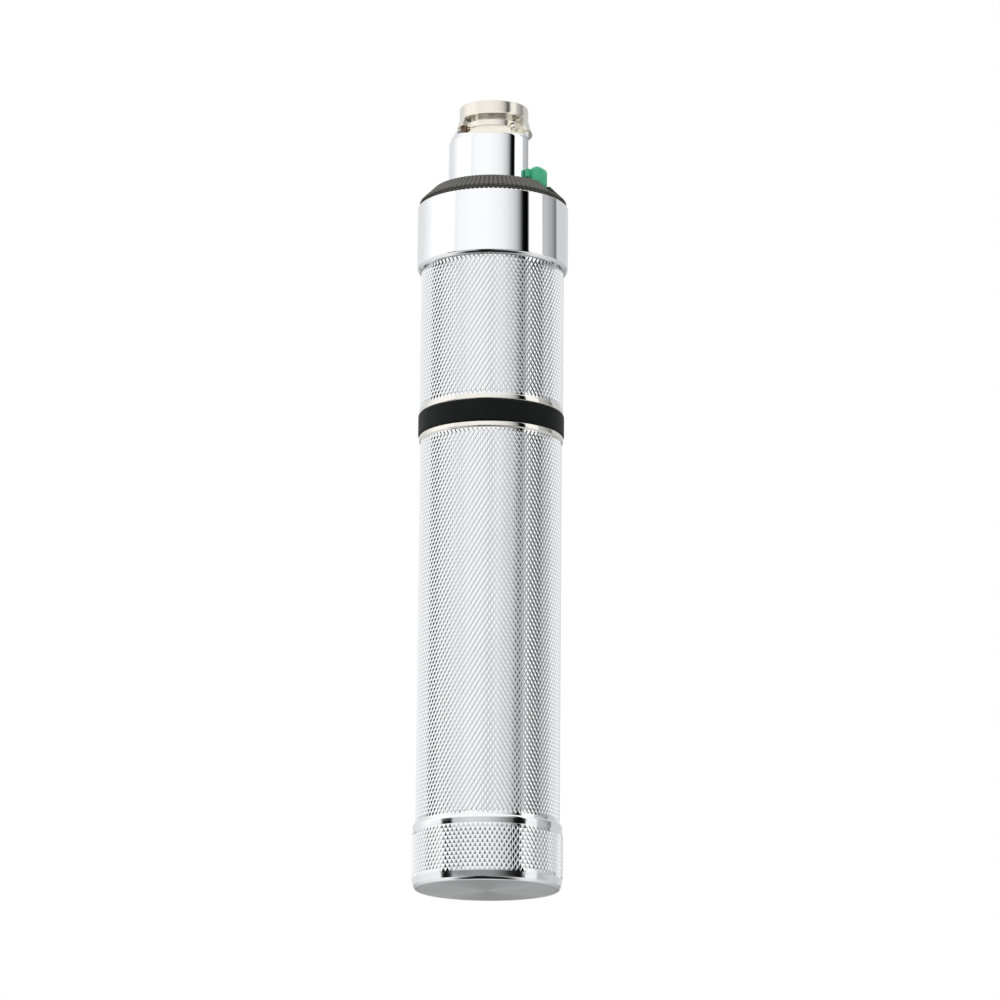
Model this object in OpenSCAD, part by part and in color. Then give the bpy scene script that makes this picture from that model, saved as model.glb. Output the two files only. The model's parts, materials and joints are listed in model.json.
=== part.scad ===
// Battery handle of an otoscope: it stands on its end cap, +Z runs up the axis to the head fitting.
// The origin is the centre of the end cap's flat underside. The camera side of the handle is -Y.

/* [Battery tubes] */
// Outer diameter of the lower knurled sleeve
lower_sleeve_d = 28.8; // [28.6:0.1:29.0]
// Visible length of the lower knurled sleeve
lower_sleeve_len = 78.4; // [78:0.1:79]
// Outer diameter of the upper knurled sleeve
upper_sleeve_d = 29.2; // [29.0:0.1:29.4]
// Visible length of the upper knurled sleeve
upper_sleeve_len = 29.2; // [28.8:0.1:30]

/* [Insulating band and contact rings] */
// Outer diameter of the black insulating band
band_d = 29.7; // [29.4:0.1:30]
// Height of the black insulating band
band_h = 4.5; // [4:0.1:5]
// Outer diameter of the two nickel contact rings
contact_ring_d = 29.3; // [29.2:0.1:29.5]
// Height of each contact ring
contact_ring_h = 1.2; // [1:0.1:1.5]

/* [End cap] */
// Diameter of the end cap over its knurl
cap_d = 30.1; // [30:0.1:30.6]
// Height of the end cap
cap_h = 13; // [12.8:0.1:13.4]

/* [Collar and rheostat ring] */
// Outer diameter of the chrome collar
collar_d = 30.9; // [30.6:0.1:31.2]
// Height of the chrome collar
collar_h = 13.8; // [13.6:0.1:14.2]
// Diameter of the rheostat ring at its lower edge
ring_d = 30.2; // [29.8:0.1:30.5]
// Diameter of the rheostat ring at its upper rim
ring_rim_d = 25; // [24.8:0.1:25.6]
// Height of the rheostat ring above the collar gap
ring_h = 3.05; // [2.9:0.05:3.3]
// Direction of the lock button, from the front towards +X, in degrees
button_azimuth = 58.5; // [45:0.5:75]

/* [Neck and head fitting] */
// Outer diameter of the chrome neck
neck_d = 18.4; // [18:0.1:18.6]
// Distance from the axis to the milled flat of the neck
neck_flat = 7.1; // [6.9:0.1:7.6]
// Height of the neck above the collar
neck_rise = 13.3; // [13:0.1:13.8]
// Outer diameter of the bayonet ring
bayonet_d = 14.2; // [14:0.1:14.6]
// Height of the head fitting above the neck
fitting_h = 8; // [7.8:0.1:8.4]

/* [Cells] */
// Diameter of a C-size cell
cell_d = 26.2; // [25.6:0.1:26.2]
// Length of a C-size cell with its terminal
cell_len = 50; // [49.6:0.1:50]

/* [Hidden] */

$fn = 96;

// Heights, from the table upwards
sleeve_gap = 0.1;
z_lower_sleeve = cap_h + sleeve_gap;
z_lower_ring = z_lower_sleeve + lower_sleeve_len;
z_band = z_lower_ring + contact_ring_h;
z_upper_ring = z_band + band_h;
z_upper_sleeve = z_upper_ring + contact_ring_h;
z_collar = z_upper_sleeve + upper_sleeve_len;
z_collar_top = z_collar + collar_h;
ring_gap = 0.45;
z_ring = z_collar_top + ring_gap;
z_ring_top = z_ring + ring_h;
z_neck_top = z_collar_top + neck_rise;
z_top = z_neck_top + fitting_h;

// Radii
lower_r = lower_sleeve_d / 2;
upper_r = upper_sleeve_d / 2;
band_r = band_d / 2;
contact_ring_r = contact_ring_d / 2;
cap_r = cap_d / 2;
collar_r = collar_d / 2;
ring_r = ring_d / 2;
ring_rim_r = ring_rim_d / 2;
neck_r = neck_d / 2;
bayonet_r = bayonet_d / 2;
cell_r = cell_d / 2;
bore_r = 13.5;
spigot_r = 14;

// End cap
disc_r = 13.7;
disc_t = 0.8;
cap_floor = 2.2;
thread_r = 13.85;
cap_bore_r = thread_r + 0.1;
cap_rim_h = 1.7;
seat_t = 0.5;
spring_top = 8.15;

// Cells
z_lower_cell = 8.2;
z_upper_cell = z_lower_cell + cell_len;
z_cells_top = z_upper_cell + cell_len;
nub_h = 1.4;
nub_r = 3.3;
wrap_t = 0.15;
shoulder = 0.6;

// Collar stack
spigot_h = 4.4;
z_spigot_top = z_collar + spigot_h;
z_neck_flange = z_spigot_top + 0.2;
neck_flange_t = 1.2;
z_former = z_neck_flange + neck_flange_t;
former_t = 2.2;
z_winding = z_former + former_t;
winding_t = 0.9;
collar_bore_r = 13;
collar_lip_r = 12;
z_collar_lip = z_collar_top - 1.5;
former_r = 12.9;
winding_r = 11.4;
screw_circle_r = 9.85;
screw_r = 0.4;
screw_turns = [20, 200];
z_skirt = z_winding + winding_t + 1.3;
skirt_in_r = 10.3;
skirt_out_r = 11.6;
skirt_flange_r = 12.7;
washer_t = 0.3;
z_skirt_flange_top = z_collar_lip - washer_t - 0.05;

// Contact line along the axis
insulator_r = 4.2;
pin_r = 1.5;
pin_flange_r = 2.4;
insulator_bore_r = 2.6;
z_insulator_top = z_neck_top + 4.3;
z_insulator_lip = z_insulator_top - 1.5;
z_feed = z_neck_flange + 1.8;
feed_h = 4;
contact_stud_r = 2;

// Head fitting
fitting_bore_r = 5.2;
fitting_spigot_r = 6;
fitting_spigot_h = 4.7;
fitting_barrel_r = 6.4;
z_groove = z_neck_top + 3.7;
groove_h = 1.4;
fitting_foot_r = 6.7;
z_lug = z_neck_top + 1.6;
lug_foot_r = 8.58;
lug_half_angle = 33;
ball_r = 0.95;
ball_azimuth = 39;
z_ball = z_neck_top + 2.7;
ball_centre_r = 6.05;
notch_azimuth = 294;
notch_half_angle = 11;

// Lock button
button_in_r = 9.95;
button_out_r = 12.2;
button_w = 4;
button_top = z_neck_top - 6.2;
button_foot = z_ring + 2.05;
button_pocket = z_ring + 0.45;

// A point on a circle at an azimuth counted from the front (-Y) towards +X
function around(r, azimuth) = [r * sin(azimuth), -r * cos(azimuth), 0];

module at_azimuth(azimuth) {
    rotate([0, 0, azimuth - 90]) children();
}

module tube(r_out, r_in, z0, z1) {
    translate([0, 0, z0]) difference() {
        cylinder(r = r_out, h = z1 - z0);
        translate([0, 0, -1]) cylinder(r = r_in, h = z1 - z0 + 2);
    }
}

module turned(points) {
    rotate_extrude() polygon(points);
}

// A turned sector centred on an azimuth
module turned_sector(points, azimuth, half_angle) {
    rotate([0, 0, azimuth - 90 - half_angle]) rotate_extrude(angle = 2 * half_angle) polygon(points);
}

// A wire coil whose radius runs from r0 to r1 while it climbs from z0 to z1
module coil(r0, r1, wire_r, z0, z1, turns) {
    steps = ceil(turns * 18);
    sides = 6;
    rise = z1 - z0 - 2 * wire_r;
    points = [
        for (i = [0:steps])
            for (j = [0:sides - 1])
                let (a = 360 * turns * i / steps, b = 360 * j / sides,
                     r = r0 + (r1 - r0) * i / steps + wire_r * cos(b))
                [r * cos(a), r * sin(a), z0 + wire_r + rise * i / steps + wire_r * sin(b)]
    ];
    sides_faces = [
        for (i = [0:steps - 1])
            for (j = [0:sides - 1])
                let (k = (j + 1) % sides)
                [i * sides + j, (i + 1) * sides + j, (i + 1) * sides + k, i * sides + k]
    ];
    first = [for (j = [0:sides - 1]) j];
    last = [for (j = [sides - 1:-1:0]) steps * sides + j];
    polyhedron(points, concat(sides_faces, [first, last]), convexity = 10);
}

// ---- End cap ----

module base_disc() {
    color("silver") turned([[0, 0], [disc_r - 0.15, 0], [disc_r, 0.15], [disc_r, disc_t], [0, disc_t]]);
}

module cap_shell() {
    rim_r = cap_r + 0.05;
    color("lightgray") turned([
        [disc_r, 0], [rim_r - 0.75, 0], [rim_r - 0.25, 0.35], [rim_r, 0.9], [rim_r, cap_rim_h],
        [cap_r, cap_rim_h + 0.15], [cap_r, cap_h - 1.75], [cap_r - 0.2, cap_h - 1.6],
        [cap_r - 0.15, cap_h - 0.8], [cap_r - 0.45, cap_h - 0.15], [cap_r - 0.75, cap_h],
        [cap_bore_r, cap_h], [cap_bore_r, cap_floor], [0, cap_floor], [0, disc_t], [disc_r, disc_t]
    ]);
}

module cap_seal() {
    seal_w = 0.35;
    color("black") tube(thread_r + 0.02, thread_r - seal_w, 11.2, 12.2);
}

module spring_seat() {
    color("darkgoldenrod") translate([0, 0, cap_floor + 0.05]) cylinder(r = 12.5, h = seat_t);
}

module cap_spring() {
    color("gainsboro") coil(10, 5.5, 0.45, cap_floor + 0.05 + seat_t, spring_top, 3.5);
}

module cap_thread_bush() {
    bush_in_r = 13.25;
    groove_r = thread_r - 0.35;
    color("silver") turned([
        [bush_in_r, 5], [thread_r - 0.25, 5], [thread_r, 5.25], [thread_r, 11.2], [groove_r, 11.2],
        [groove_r, 12.2], [thread_r, 12.2], [thread_r, z_lower_sleeve], [bore_r, z_lower_sleeve],
        [bore_r, z_lower_sleeve + 6], [bush_in_r, z_lower_sleeve + 6]
    ]);
}

// ---- Battery tubes ----

module lower_sleeve() {
    color("lightsteelblue") turned([
        [bore_r, z_lower_sleeve], [lower_r - 0.1, z_lower_sleeve], [lower_r, z_lower_sleeve + 0.2],
        [lower_r, z_lower_ring], [spigot_r, z_lower_ring], [spigot_r, z_lower_ring - 4],
        [bore_r, z_lower_ring - 4]
    ]);
}

module upper_sleeve() {
    upper_bore_r = 13.6;
    color("lightsteelblue") turned([
        [spigot_r, z_upper_sleeve], [upper_r, z_upper_sleeve], [upper_r, z_collar], [spigot_r, z_collar],
        [spigot_r, z_spigot_top], [upper_bore_r, z_spigot_top], [upper_bore_r, z_upper_sleeve + 4],
        [spigot_r, z_upper_sleeve + 4]
    ]);
}

module cell(z0) {
    can_r = cell_r - wrap_t;
    turned([
        [0, z0], [can_r - 1.2, z0], [can_r - 1.2, z0 + 0.5], [can_r - 0.5, z0 + 0.5], [can_r, z0 + 1],
        [can_r, z0 + cell_len - nub_h - shoulder], [can_r - shoulder, z0 + cell_len - nub_h],
        [nub_r, z0 + cell_len - nub_h],
        [nub_r, z0 + cell_len - 0.3], [nub_r - 0.3, z0 + cell_len], [0, z0 + cell_len]
    ]);
}

module lower_cell() { color("silver") cell(z_lower_cell); }

module upper_cell() { color("silver") cell(z_upper_cell); }

module cell_wrap(z0) {
    tube(cell_r, cell_r - wrap_t, z0 + 1.1, z0 + cell_len - nub_h - shoulder - 0.1);
}

module lower_cell_wrap() { color("steelblue") cell_wrap(z_lower_cell); }

module upper_cell_wrap() { color("steelblue") cell_wrap(z_upper_cell); }

// A thin strip that carries the return current past the insulating band to the neck's flange
module return_strip() {
    strip_in_r = 13.16;
    strip_out_r = 13.36;
    z0 = z_lower_sleeve + 6;
    color("peru") turned_sector([
        [strip_in_r, z0], [strip_out_r, z0], [strip_out_r, z_neck_flange], [11.4, z_neck_flange],
        [11.4, z_neck_flange - 0.2], [strip_in_r, z_neck_flange - 0.2]
    ], 180, 9);
}

// ---- Band between the tubes ----

module joining_sleeve() {
    color("dimgray") tube(spigot_r, 13.4, z_lower_ring - 4, z_upper_sleeve + 4);
}

// A ring with rounded corners around the joining sleeve
module outer_ring(r, z0, z1, corner) {
    turned([
        [spigot_r, z0], [r - corner, z0], [r, z0 + corner], [r, z1 - corner], [r - corner, z1], [spigot_r, z1]
    ]);
}

module lower_contact_ring() { color("linen") outer_ring(contact_ring_r, z_lower_ring, z_band, 0.25); }

module insulating_band() { color("darkslategray") outer_ring(band_r, z_band, z_upper_ring, 0.4); }

module upper_contact_ring() { color("linen") outer_ring(contact_ring_r, z_upper_ring, z_upper_sleeve, 0.25); }

// ---- Contact block above the cells ----

module contact_block() {
    color("ivory") difference() {
        tube(13.1, contact_stud_r, z_cells_top + 2, z_collar - 2);
        translate([0, 0, z_cells_top + 1]) cylinder(r = 5.2, h = 2.5);
        for (a = [0:120:240])
            rotate([0, 0, a + 30]) translate([8, 0, z_cells_top + 8]) cylinder(r = 2.4, h = 20);
    }
}

module battery_contact() {
    z0 = z_cells_top + 0.05;
    color("gold") turned([
        [0, z0], [3.6, z0], [4, z0 + 0.4], [4, z0 + 1.6], [contact_stud_r, z0 + 1.6],
        [contact_stud_r, z_feed], [0, z_feed]
    ]);
}

// ---- Collar, neck and rheostat ----

module collar() {
    color("whitesmoke") turned([
        [spigot_r, z_collar], [collar_r - 0.55, z_collar], [collar_r - 0.15, z_collar + 0.25],
        [collar_r, z_collar + 0.65], [collar_r, z_collar_top - 0.45], [collar_r - 0.45, z_collar_top],
        [collar_lip_r, z_collar_top], [collar_lip_r, z_collar_lip], [collar_bore_r, z_collar_lip],
        [collar_bore_r, z_neck_flange], [spigot_r, z_neck_flange]
    ]);
}

// Room cut away beside the milled flat, up into the foot of the lug above it
module flat_cut() {
    z0 = z_ring_top - 0.6;
    translate([neck_flat, -neck_r - 1, z0]) cube([neck_r, 2 * neck_r + 2, z_neck_top + 2.3 - z0]);
}

// The neck's rim is dished front and back, so it rises to a shoulder under each lug
module neck_sleeve() {
    dish_r = 20;
    color("whitesmoke") difference() {
        turned([
            [insulator_r, z_neck_flange], [former_r, z_neck_flange], [former_r, z_former], [neck_r, z_former],
            [neck_r, z_neck_top - 0.4], [neck_r - 0.18, z_neck_top + 0.6], [lug_foot_r, z_lug],
            [fitting_foot_r, z_lug], [fitting_foot_r, z_neck_top], [fitting_spigot_r, z_neck_top],
            [fitting_spigot_r, z_neck_top - fitting_spigot_h], [insulator_r, z_neck_top - fitting_spigot_h]
        ]);
        translate([0, neck_r + 1, z_neck_top + dish_r]) rotate([90, 0, 0]) cylinder(r = dish_r, h = 2 * neck_r + 2);
        flat_cut();
    }
}

module rheostat_former() {
    color("saddlebrown") difference() {
        tube(former_r, neck_r, z_former, z_winding);
        for (a = screw_turns)
            rotate([0, 0, a]) translate([screw_circle_r, 0, z_former - 1]) cylinder(r = screw_r, h = former_t + 2);
    }
}

module rheostat_winding() {
    color("sienna") turned_sector([
        [winding_r - 0.9, z_winding], [winding_r + 0.9, z_winding], [winding_r + 0.9, z_winding + 0.5],
        [winding_r + 0.5, z_winding + winding_t], [winding_r - 0.5, z_winding + winding_t],
        [winding_r - 0.9, z_winding + 0.5]
    ], 180, 150);
}

module former_screws() {
    color("gainsboro") for (a = screw_turns)
        rotate([0, 0, a]) translate([screw_circle_r, 0, 0]) {
            translate([0, 0, z_former]) cylinder(r = screw_r, h = former_t);
            translate([0, 0, z_winding]) cylinder(r = screw_r + 0.2, h = 0.35);
        }
}

module friction_washer() {
    color("tan") tube(former_r, skirt_out_r + 0.15, z_collar_lip - washer_t, z_collar_lip);
}

module rheostat_ring() {
    color("dimgray") difference() {
        turned([
            [neck_r + 0.05, z_ring], [skirt_in_r, z_ring], [skirt_in_r, z_skirt], [skirt_flange_r, z_skirt],
            [skirt_flange_r, z_skirt_flange_top], [skirt_out_r, z_skirt_flange_top], [skirt_out_r, z_ring],
            [ring_r - 0.1, z_ring], [ring_r, z_ring + 0.15], [ring_r, z_ring + 0.35],
            [ring_rim_r, z_ring_top - 0.1], [ring_rim_r - 0.15, z_ring_top], [neck_r + 0.05, z_ring_top]
        ]);
        at_azimuth(button_azimuth)
            translate([button_in_r - 0.15, -button_w / 2 - 0.25, button_pocket])
                cube([8, button_w + 0.5, 6]);
    }
}

module wiper() {
    color("goldenrod") turned_sector([
        [10.35, z_skirt], [12.5, z_skirt], [12.5, z_skirt - 0.35], [11.9, z_skirt - 0.35],
        [11.6, z_skirt - 1.25], [11.2, z_skirt - 1.25], [10.9, z_skirt - 0.35], [10.35, z_skirt - 0.35]
    ], 50, 6);
}

module lock_button() {
    height = button_top - button_foot;
    color("mediumseagreen") {
        at_azimuth(button_azimuth) translate([button_in_r, 0, button_foot]) {
            difference() {
                translate([0, -button_w / 2, 0]) cube([button_out_r - button_in_r, button_w, height]);
                for (side = [-1, 1])
                    translate([-1, side * button_w / 2, height]) rotate([0, 90, 0])
                        difference() {
                            cube([1.6, 1.6, 8], center = true);
                            translate([0.8, -side * 0.8, -5]) cylinder(r = 0.8, h = 10, $fn = 32);
                        }
            }
        }
        turned_sector([
            [neck_r + 0.2, z_ring_top + 1.15], [button_in_r + 0.3, z_ring_top + 1.15],
            [button_in_r + 0.3, z_ring_top + 2.9], [neck_r + 0.2, z_ring_top + 2.9]
        ], button_azimuth - 8, 11);
    }
}

module lock_button_spring() {
    color("gainsboro") at_azimuth(button_azimuth) translate([(button_in_r + button_out_r) / 2, 0, 0])
        coil(0.75, 0.75, 0.14, button_pocket, button_foot, 3);
}

// ---- Contact line through the neck ----

module contact_insulator() {
    color("ivory") turned([
        [insulator_bore_r, z_neck_flange], [insulator_r, z_neck_flange], [insulator_r, z_insulator_top - 0.4],
        [insulator_r - 0.4, z_insulator_top], [pin_r + 0.08, z_insulator_top], [pin_r + 0.08, z_insulator_lip],
        [insulator_bore_r, z_insulator_lip]
    ]);
}

module feed_terminal() {
    color("gold") translate([0, 0, z_feed]) cylinder(r = insulator_bore_r, h = feed_h);
}

module contact_pin() {
    z_flange = z_insulator_lip - 0.05;
    color("gold") turned([
        [0, z_flange - 1], [pin_flange_r, z_flange - 1], [pin_flange_r, z_flange], [pin_r, z_flange],
        [pin_r, z_insulator_top + 1.4], [pin_r - 0.7, z_insulator_top + 1.9], [0, z_insulator_top + 2.1]
    ]);
}

module contact_pin_spring() {
    color("gainsboro") coil(2.05, 2.05, 0.25, z_feed + feed_h, z_insulator_lip - 1.05, 8);
}

// ---- Head fitting ----

// A nickel socket: windows cut front and back leave a lug on each side, and a locking groove under the ring
module bayonet_fitting() {
    z_ring_low = z_groove + groove_h;
    groove_r = bayonet_r - 1.2;
    window_out_r = lug_foot_r + 1;
    window = [
        [fitting_barrel_r, z_lug - 0.35], [window_out_r, z_lug - 0.35], [window_out_r, z_ring_low],
        [groove_r, z_ring_low], [groove_r, z_groove], [fitting_barrel_r, z_groove]
    ];
    notch_in_r = fitting_foot_r + 0.1;
    notch = [
        [notch_in_r, z_lug - 0.3], [window_out_r, z_lug - 0.3], [window_out_r, z_lug + 1.4],
        [notch_in_r, z_lug + 1.4]
    ];
    color("wheat") difference() {
        turned([
            [fitting_bore_r, z_neck_top - fitting_spigot_h], [fitting_spigot_r, z_neck_top - fitting_spigot_h],
            [fitting_spigot_r, z_neck_top], [fitting_foot_r, z_neck_top], [fitting_foot_r, z_lug],
            [lug_foot_r, z_lug], [lug_foot_r - 0.5, z_lug + 0.9], [bayonet_r + 0.4, z_lug + 2.3],
            [bayonet_r, z_lug + 3.1], [bayonet_r, z_top - 0.3], [bayonet_r - 0.3, z_top],
            [fitting_bore_r + 0.2, z_top], [fitting_bore_r, z_top - 0.2]
        ]);
        for (side = [0, 180]) turned_sector(window, side, 90 - lug_half_angle);
        turned_sector(notch, notch_azimuth, notch_half_angle);
        flat_cut();
        at_azimuth(ball_azimuth) translate([4.6, 0, z_ball]) rotate([0, 90, 0]) cylinder(r = ball_r + 0.05, h = 4);
    }
}

module detent_ball() {
    color("wheat") translate(around(ball_centre_r, ball_azimuth) + [0, 0, z_ball]) sphere(r = ball_r);
}

module detent_spring() {
    spring_r = 4.8;
    wire_r = 0.22;
    color("gainsboro") rotate([0, 0, ball_azimuth - 90 - 160]) rotate_extrude(angle = 320)
        translate([spring_r, z_ball]) circle(r = wire_r, $fn = 24);
}

base_disc();
cap_shell();
cap_seal();
spring_seat();
cap_spring();
cap_thread_bush();
lower_sleeve();
lower_cell();
lower_cell_wrap();
upper_cell();
upper_cell_wrap();
return_strip();
joining_sleeve();
lower_contact_ring();
insulating_band();
upper_contact_ring();
upper_sleeve();
contact_block();
battery_contact();
collar();
neck_sleeve();
rheostat_former();
rheostat_winding();
former_screws();
friction_washer();
rheostat_ring();
wiper();
lock_button();
lock_button_spring();
contact_insulator();
feed_terminal();
contact_pin();
contact_pin_spring();
bayonet_fitting();
detent_ball();
detent_spring();
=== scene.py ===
"""Looks of an otoscope's battery handle: chrome, knurls in relief, a ribbed dimmer ring, a green button."""

import json
import math

import bmesh
import bpy
from mathutils import Euler, Matrix, Vector


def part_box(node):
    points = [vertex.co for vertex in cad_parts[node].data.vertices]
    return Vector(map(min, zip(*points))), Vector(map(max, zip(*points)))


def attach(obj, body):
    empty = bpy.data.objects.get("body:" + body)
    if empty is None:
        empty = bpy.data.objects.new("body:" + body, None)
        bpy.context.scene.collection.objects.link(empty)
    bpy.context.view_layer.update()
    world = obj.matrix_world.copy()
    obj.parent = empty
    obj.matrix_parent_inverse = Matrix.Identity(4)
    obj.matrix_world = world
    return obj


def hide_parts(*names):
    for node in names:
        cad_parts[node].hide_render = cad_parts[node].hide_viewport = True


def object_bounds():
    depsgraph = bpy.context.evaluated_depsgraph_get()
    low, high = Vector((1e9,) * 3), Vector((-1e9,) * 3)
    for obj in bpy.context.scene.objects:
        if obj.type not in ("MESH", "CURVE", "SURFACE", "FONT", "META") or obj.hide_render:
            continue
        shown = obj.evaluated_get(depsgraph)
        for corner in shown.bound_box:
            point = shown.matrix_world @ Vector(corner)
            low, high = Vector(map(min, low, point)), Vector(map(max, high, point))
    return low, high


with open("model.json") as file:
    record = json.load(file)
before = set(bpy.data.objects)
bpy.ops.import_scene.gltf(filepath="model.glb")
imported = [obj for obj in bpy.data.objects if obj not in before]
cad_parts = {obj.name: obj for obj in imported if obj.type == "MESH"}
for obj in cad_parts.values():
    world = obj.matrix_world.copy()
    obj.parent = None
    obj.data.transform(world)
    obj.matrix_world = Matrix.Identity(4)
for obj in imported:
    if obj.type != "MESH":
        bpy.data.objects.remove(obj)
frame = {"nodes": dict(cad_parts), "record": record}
cad_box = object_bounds()

MM = 0.001
TAU = 2 * math.pi

# ---- Places taken from the frame, in metres ----


def radius_of(node):
    """Largest distance from the axis that the node's box reaches."""
    lo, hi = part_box(node)
    return max(hi.x, hi.y, -lo.x, -lo.y)


def span(node):
    """Lowest and highest z of a node."""
    lo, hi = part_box(node)
    return lo.z, hi.z


CAP_TOP = span("cap_shell")[1]
LOWER_SLEEVE = span("lower_sleeve")
UPPER_SLEEVE = span("upper_sleeve")
COLLAR = span("collar")
RING_TOP = span("rheostat_ring")[1]
BUTTON = span("lock_button")
FITTING = span("bayonet_fitting")
TOP = FITTING[1]
NECK_TOP = TOP - 8 * MM

BORE_R = 13.5 * MM
SPIGOT_R = 14.0 * MM
SPIGOT_LENGTH = 4 * MM
FOOT_R = 7.65 * MM
EAR_R = 8.12 * MM
EAR_Z = TOP - 5.65 * MM
NECK_SPIGOT_R = 6.0 * MM

# Azimuths in degrees, from the front (-Y) towards +X
BUTTON_AZIMUTH = 58.5
BALL_AZIMUTH = 39.0
NOTCH_AZIMUTH = 294

# ---- Mesh tools ----


def add_object(name, verts, faces):
    """A mesh object from points in metres and faces, with its normals turned outwards."""
    mesh = bpy.data.meshes.new(name)
    mesh.from_pydata([tuple(v) for v in verts], [], [tuple(f) for f in faces])
    work = bmesh.new()
    work.from_mesh(mesh)
    bmesh.ops.recalc_face_normals(work, faces=work.faces)
    work.to_mesh(mesh)
    work.free()
    mesh.update()
    obj = bpy.data.objects.new(name, mesh)
    bpy.context.scene.collection.objects.link(obj)
    return obj


def shade(obj, sharp_deg):
    """Smooth shading that keeps edges over the given angle sharp."""
    obj.data.shade_smooth()
    obj.data.set_sharp_from_angle(angle=math.radians(sharp_deg))
    return obj


def filleted(corners, steps=6):
    """A closed outline from corners (r, z, fillet), each rounded by an arc-like curve."""
    outline = []
    count = len(corners)
    for i, (r, z, fillet) in enumerate(corners):
        here = Vector((r, z))
        if fillet <= 0:
            outline.append((r, z))
            continue
        before = Vector(corners[i - 1][:2]) - here
        after = Vector(corners[(i + 1) % count][:2]) - here
        half = before.angle(after) / 2
        reach = min(fillet / math.tan(half), 0.49 * before.length, 0.49 * after.length)
        start = here + before.normalized() * reach
        end = here + after.normalized() * reach
        for k in range(steps + 1):
            t = k / steps
            point = start.lerp(here, t).lerp(here.lerp(end, t), t)
            outline.append((point.x, point.y))
    return outline


def on_circle(r, angle, z):
    """A point at an angle counted from the front (-Y) towards +X."""
    return (r * math.sin(angle), -r * math.cos(angle), z)


def turned(name, outline, segments=256, shape=None):
    """Turns a closed outline of (r, z), listed anticlockwise, about the axis.

    shape(i, angle) says how far point i moves in r.
    """
    verts, rings = [], []
    for i, (r, z) in enumerate(outline):
        if r < 1e-7:
            rings.append([len(verts)])
            verts.append((0, 0, z))
            continue
        rings.append(list(range(len(verts), len(verts) + segments)))
        for k in range(segments):
            angle = TAU * k / segments
            dr = shape(i, angle) if shape else 0
            verts.append(on_circle(r + dr, angle, z))
    faces = []
    for i in range(len(rings)):
        low, high = rings[i], rings[(i + 1) % len(rings)]
        if len(low) == 1 and len(high) == 1:
            continue
        for k in range(segments):
            n = (k + 1) % segments
            if len(low) == 1:
                faces.append((low[0], high[n], high[k]))
            elif len(high) == 1:
                faces.append((low[k], low[n], high[0]))
            else:
                faces.append((low[k], low[n], high[n], high[k]))
    return add_object(name, verts, faces)


def turned_sector(name, outline, azimuth, half_angle, segments=48):
    """A closed wedge of a turned outline, centred on an azimuth in degrees from the front."""
    verts, faces = [], []
    count = len(outline)
    for k in range(segments + 1):
        angle = math.radians(azimuth - half_angle + 2 * half_angle * k / segments)
        verts += [on_circle(r, angle, z) for r, z in outline]
    for k in range(segments):
        for i in range(count):
            j = (i + 1) % count
            faces.append((k * count + i, (k + 1) * count + i, (k + 1) * count + j, k * count + j))
    faces.append(tuple(range(count)))
    faces.append(tuple(segments * count + i for i in reversed(range(count))))
    return add_object(name, verts, faces)


def block(name, lo, hi):
    """A box between two corners, for cutting."""
    corners = [(x, y, z) for x in (lo[0], hi[0]) for y in (lo[1], hi[1]) for z in (lo[2], hi[2])]
    faces = [(0, 1, 3, 2), (4, 6, 7, 5), (0, 4, 5, 1), (2, 3, 7, 6), (0, 2, 6, 4), (1, 5, 7, 3)]
    return add_object(name, corners, faces)


def spin_matrix(azimuth):
    """The turn that takes +X to an azimuth."""
    return Euler((0, 0, math.radians(azimuth - 90))).to_matrix().to_4x4()


def spin(obj, azimuth):
    """Turns an object made along +X to an azimuth, in its mesh."""
    obj.data.transform(spin_matrix(azimuth))
    return obj


def combine(obj, other, operation):
    """Applies a boolean with another object, which is used up."""
    mod = obj.modifiers.new(operation, "BOOLEAN")
    mod.operation = operation
    mod.solver = "EXACT"
    mod.object = other
    apply_modifiers(obj)
    bpy.data.objects.remove(other)
    return obj


def apply_modifiers(obj):
    """Makes the result of an object's modifiers its mesh."""
    graph = bpy.context.evaluated_depsgraph_get()
    mesh = bpy.data.meshes.new_from_object(obj.evaluated_get(graph))
    old = obj.data
    obj.modifiers.clear()
    obj.data = mesh
    mesh.name = obj.name
    bpy.data.meshes.remove(old)


def bevelled(obj, width, segments=2):
    """Rounds an object's sharp edges in its mesh."""
    least_bend = math.radians(35)
    mod = obj.modifiers.new("bevel", "BEVEL")
    mod.width = width
    mod.segments = segments
    mod.limit_method = "ANGLE"
    mod.angle_limit = least_bend
    apply_modifiers(obj)
    return obj


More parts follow.
